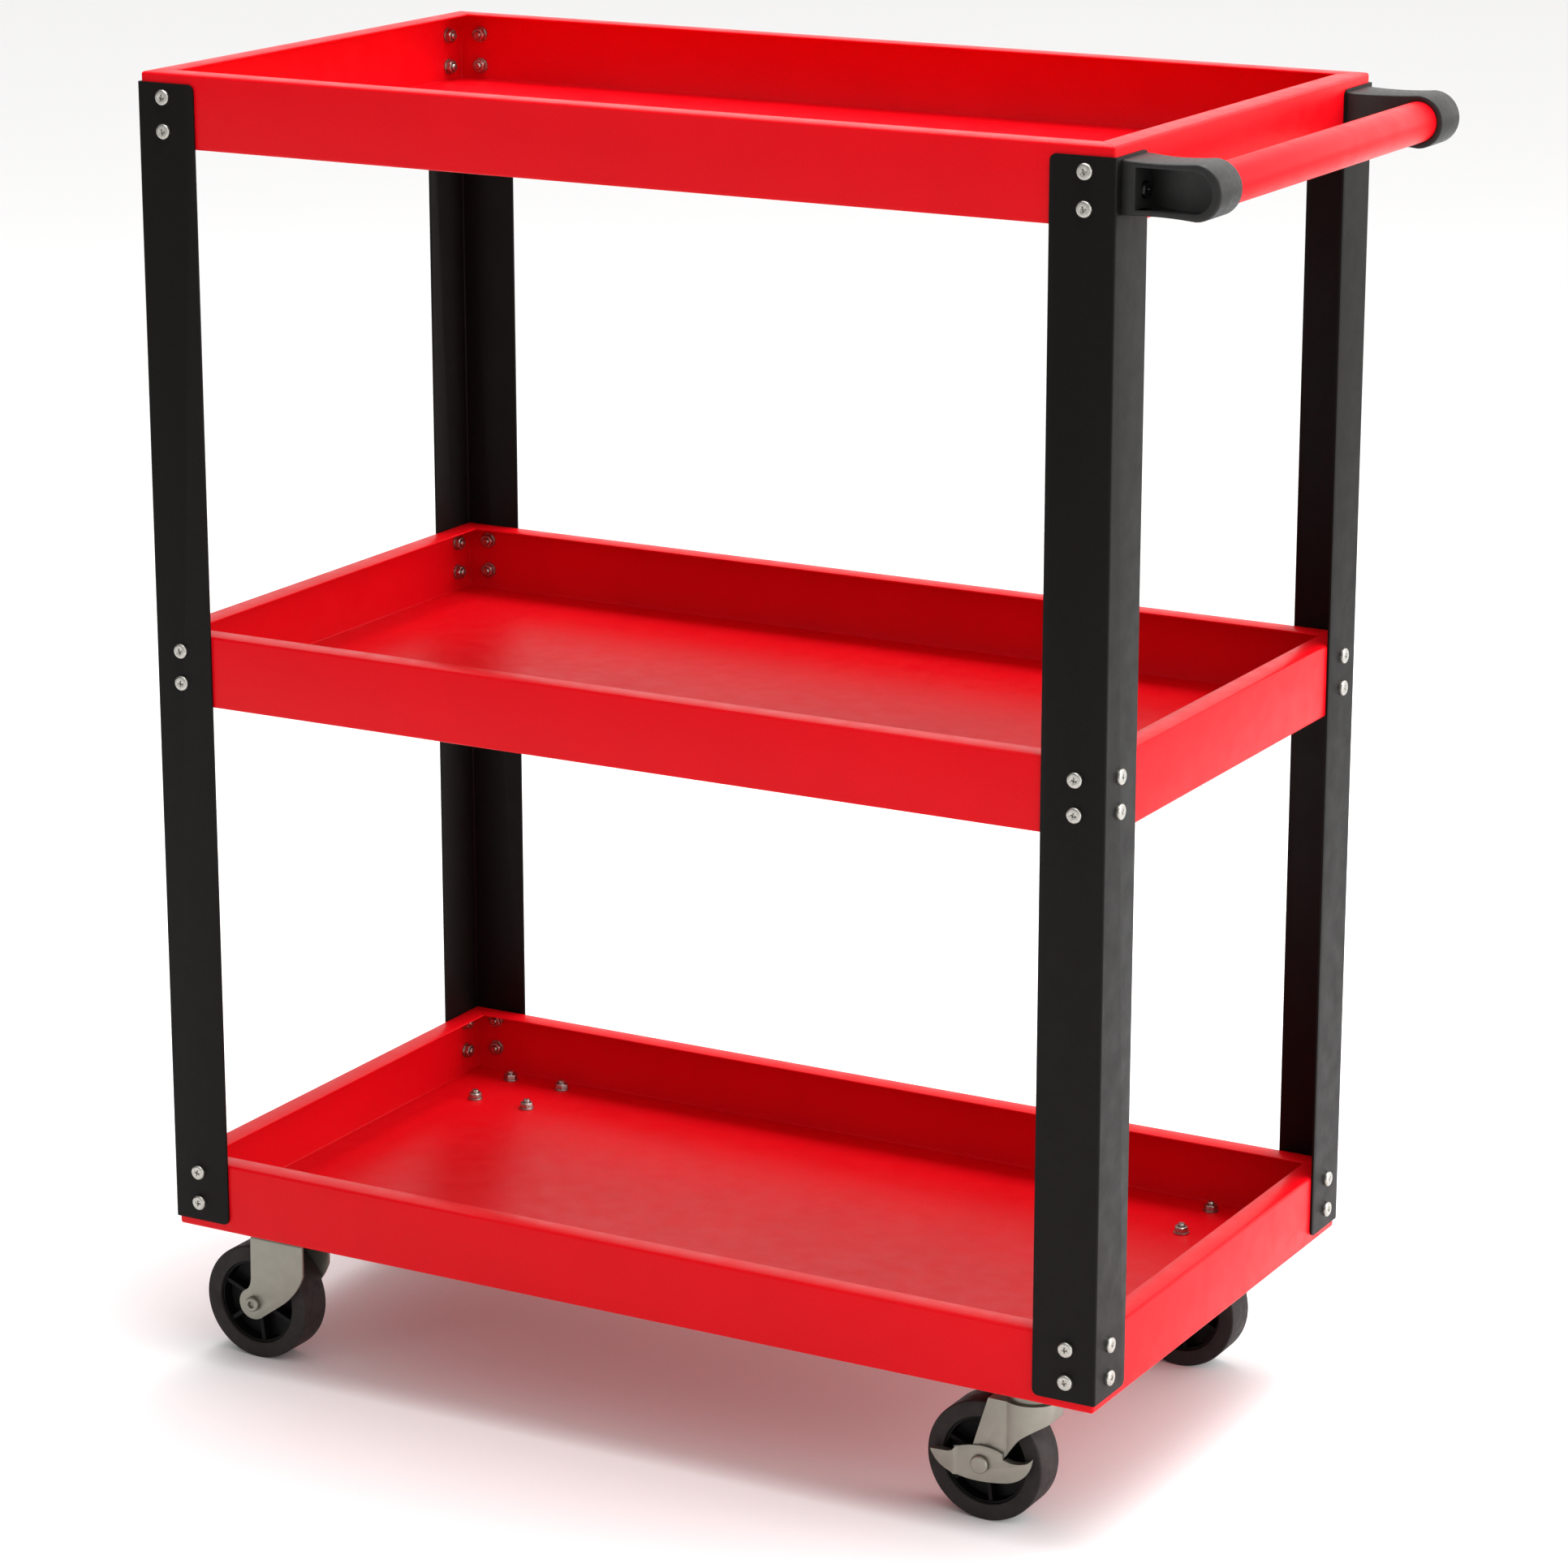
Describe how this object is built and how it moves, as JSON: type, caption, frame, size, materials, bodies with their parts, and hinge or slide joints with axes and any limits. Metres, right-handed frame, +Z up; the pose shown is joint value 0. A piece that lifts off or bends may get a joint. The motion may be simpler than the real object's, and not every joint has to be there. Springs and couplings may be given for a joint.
{
  "type": "tool cart",
  "caption": "Tool cart with stacked sheet-steel trays on bolted angle legs, a tube push handle at one end, and fixed and braked swivel casters.",
  "frame": {"origin": "on the floor, under the middle of the cart's bounding box", "axes": "+Z up, +X towards the handle end, -Y the front long side"},
  "size_m": [0.7038, 0.3578, 0.8208],
  "materials": {
    "red_powder_coat": "satin red powder coat with a fine texture",
    "black_powder_coat": "satin black powder coat with a fine texture",
    "zinc_plated_steel": "dull zinc plate on pressed steel",
    "fastener_steel": "bright zinc plate",
    "black_screw_finish": "black oxide",
    "bracket_plastic": "moulded black plastic with a fine grain",
    "wheel_core_plastic": "moulded black plastic",
    "tyre_rubber": "matt dark rubber"
  },
  "bodies": {
    "cart": {"top_tray": "red_powder_coat", "middle_tray": "red_powder_coat", "bottom_tray": "red_powder_coat", "front_left_leg": "black_powder_coat", "rear_left_leg": "black_powder_coat", "front_right_leg": "black_powder_coat", "rear_right_leg": "black_powder_coat", "tray_screws": "fastener_steel", "tray_washers": "fastener_steel", "tray_nuts": "fastener_steel", "handle_tube": "red_powder_coat", "front_handle_bracket": "bracket_plastic", "rear_handle_bracket": "bracket_plastic", "handle_screws": "black_screw_finish", "handle_washers": "fastener_steel", "handle_nuts": "fastener_steel", "caster_bolts": "fastener_steel", "caster_washers": "fastener_steel", "caster_nuts": "fastener_steel", "front_left_plate": "zinc_plated_steel", "front_left_fork": "zinc_plated_steel", "front_left_rivet": "fastener_steel", "front_left_axle": "zinc_plated_steel", "front_left_sleeve": "fastener_steel", "rear_left_plate": "zinc_plated_steel", "rear_left_fork": "zinc_plated_steel", "rear_left_rivet": "fastener_steel", "rear_left_axle": "zinc_plated_steel", "rear_left_sleeve": "fastener_steel", "front_right_plate": "zinc_plated_steel", "front_right_kingpin": "fastener_steel", "rear_right_plate": "zinc_plated_steel", "rear_right_kingpin": "fastener_steel"},
    "front_left_wheel": {"front_left_hub": "wheel_core_plastic", "front_left_tyre": "tyre_rubber"},
    "front_right_swivel": {"front_right_fork": "zinc_plated_steel", "front_right_balls": "fastener_steel", "front_right_axle": "zinc_plated_steel", "front_right_sleeve": "fastener_steel"},
    "front_right_wheel": {"front_right_hub": "wheel_core_plastic", "front_right_tyre": "tyre_rubber"},
    "front_right_brake": {"front_right_brake_lever": "zinc_plated_steel"},
    "rear_left_wheel": {"rear_left_hub": "wheel_core_plastic", "rear_left_tyre": "tyre_rubber"},
    "rear_right_swivel": {"rear_right_fork": "zinc_plated_steel", "rear_right_balls": "fastener_steel", "rear_right_axle": "zinc_plated_steel", "rear_right_sleeve": "fastener_steel"},
    "rear_right_wheel": {"rear_right_hub": "wheel_core_plastic", "rear_right_tyre": "tyre_rubber"},
    "rear_right_brake": {"rear_right_brake_lever": "zinc_plated_steel"}
  },
  "joints": [
    {"name": "front_left_wheel_spin", "type": "hinge", "parent": "cart", "child": "front_left_wheel", "pos_m": [-0.31005, -0.1367, 0.0375], "axis": [0, 1, 0], "continuous": true},
    {"name": "front_right_swivel_turn", "type": "hinge", "parent": "cart", "child": "front_right_swivel", "pos_m": [0.23495, -0.1367, 0.08], "axis": [0, 0, 1], "continuous": true},
    {"name": "front_right_wheel_spin", "type": "hinge", "parent": "front_right_swivel", "child": "front_right_wheel", "pos_m": [0.20945, -0.1367, 0.0375], "axis": [0, 1, 0], "continuous": true},
    {"name": "front_right_brake_rock", "type": "hinge", "parent": "front_right_swivel", "child": "front_right_brake", "pos_m": [0.20945, -0.1367, 0.0375], "axis": [0, 1, 0], "range_deg": [0, 12]},
    {"name": "rear_left_wheel_spin", "type": "hinge", "parent": "cart", "child": "rear_left_wheel", "pos_m": [-0.31005, 0.1367, 0.0375], "axis": [0, 1, 0], "continuous": true},
    {"name": "rear_right_swivel_turn", "type": "hinge", "parent": "cart", "child": "rear_right_swivel", "pos_m": [0.23495, 0.1367, 0.08], "axis": [0, 0, 1], "continuous": true},
    {"name": "rear_right_wheel_spin", "type": "hinge", "parent": "rear_right_swivel", "child": "rear_right_wheel", "pos_m": [0.20945, 0.1367, 0.0375], "axis": [0, 1, 0], "continuous": true},
    {"name": "rear_right_brake_rock", "type": "hinge", "parent": "rear_right_swivel", "child": "rear_right_brake", "pos_m": [0.20945, 0.1367, 0.0375], "axis": [0, 1, 0], "range_deg": [0, 12]}
  ]
}
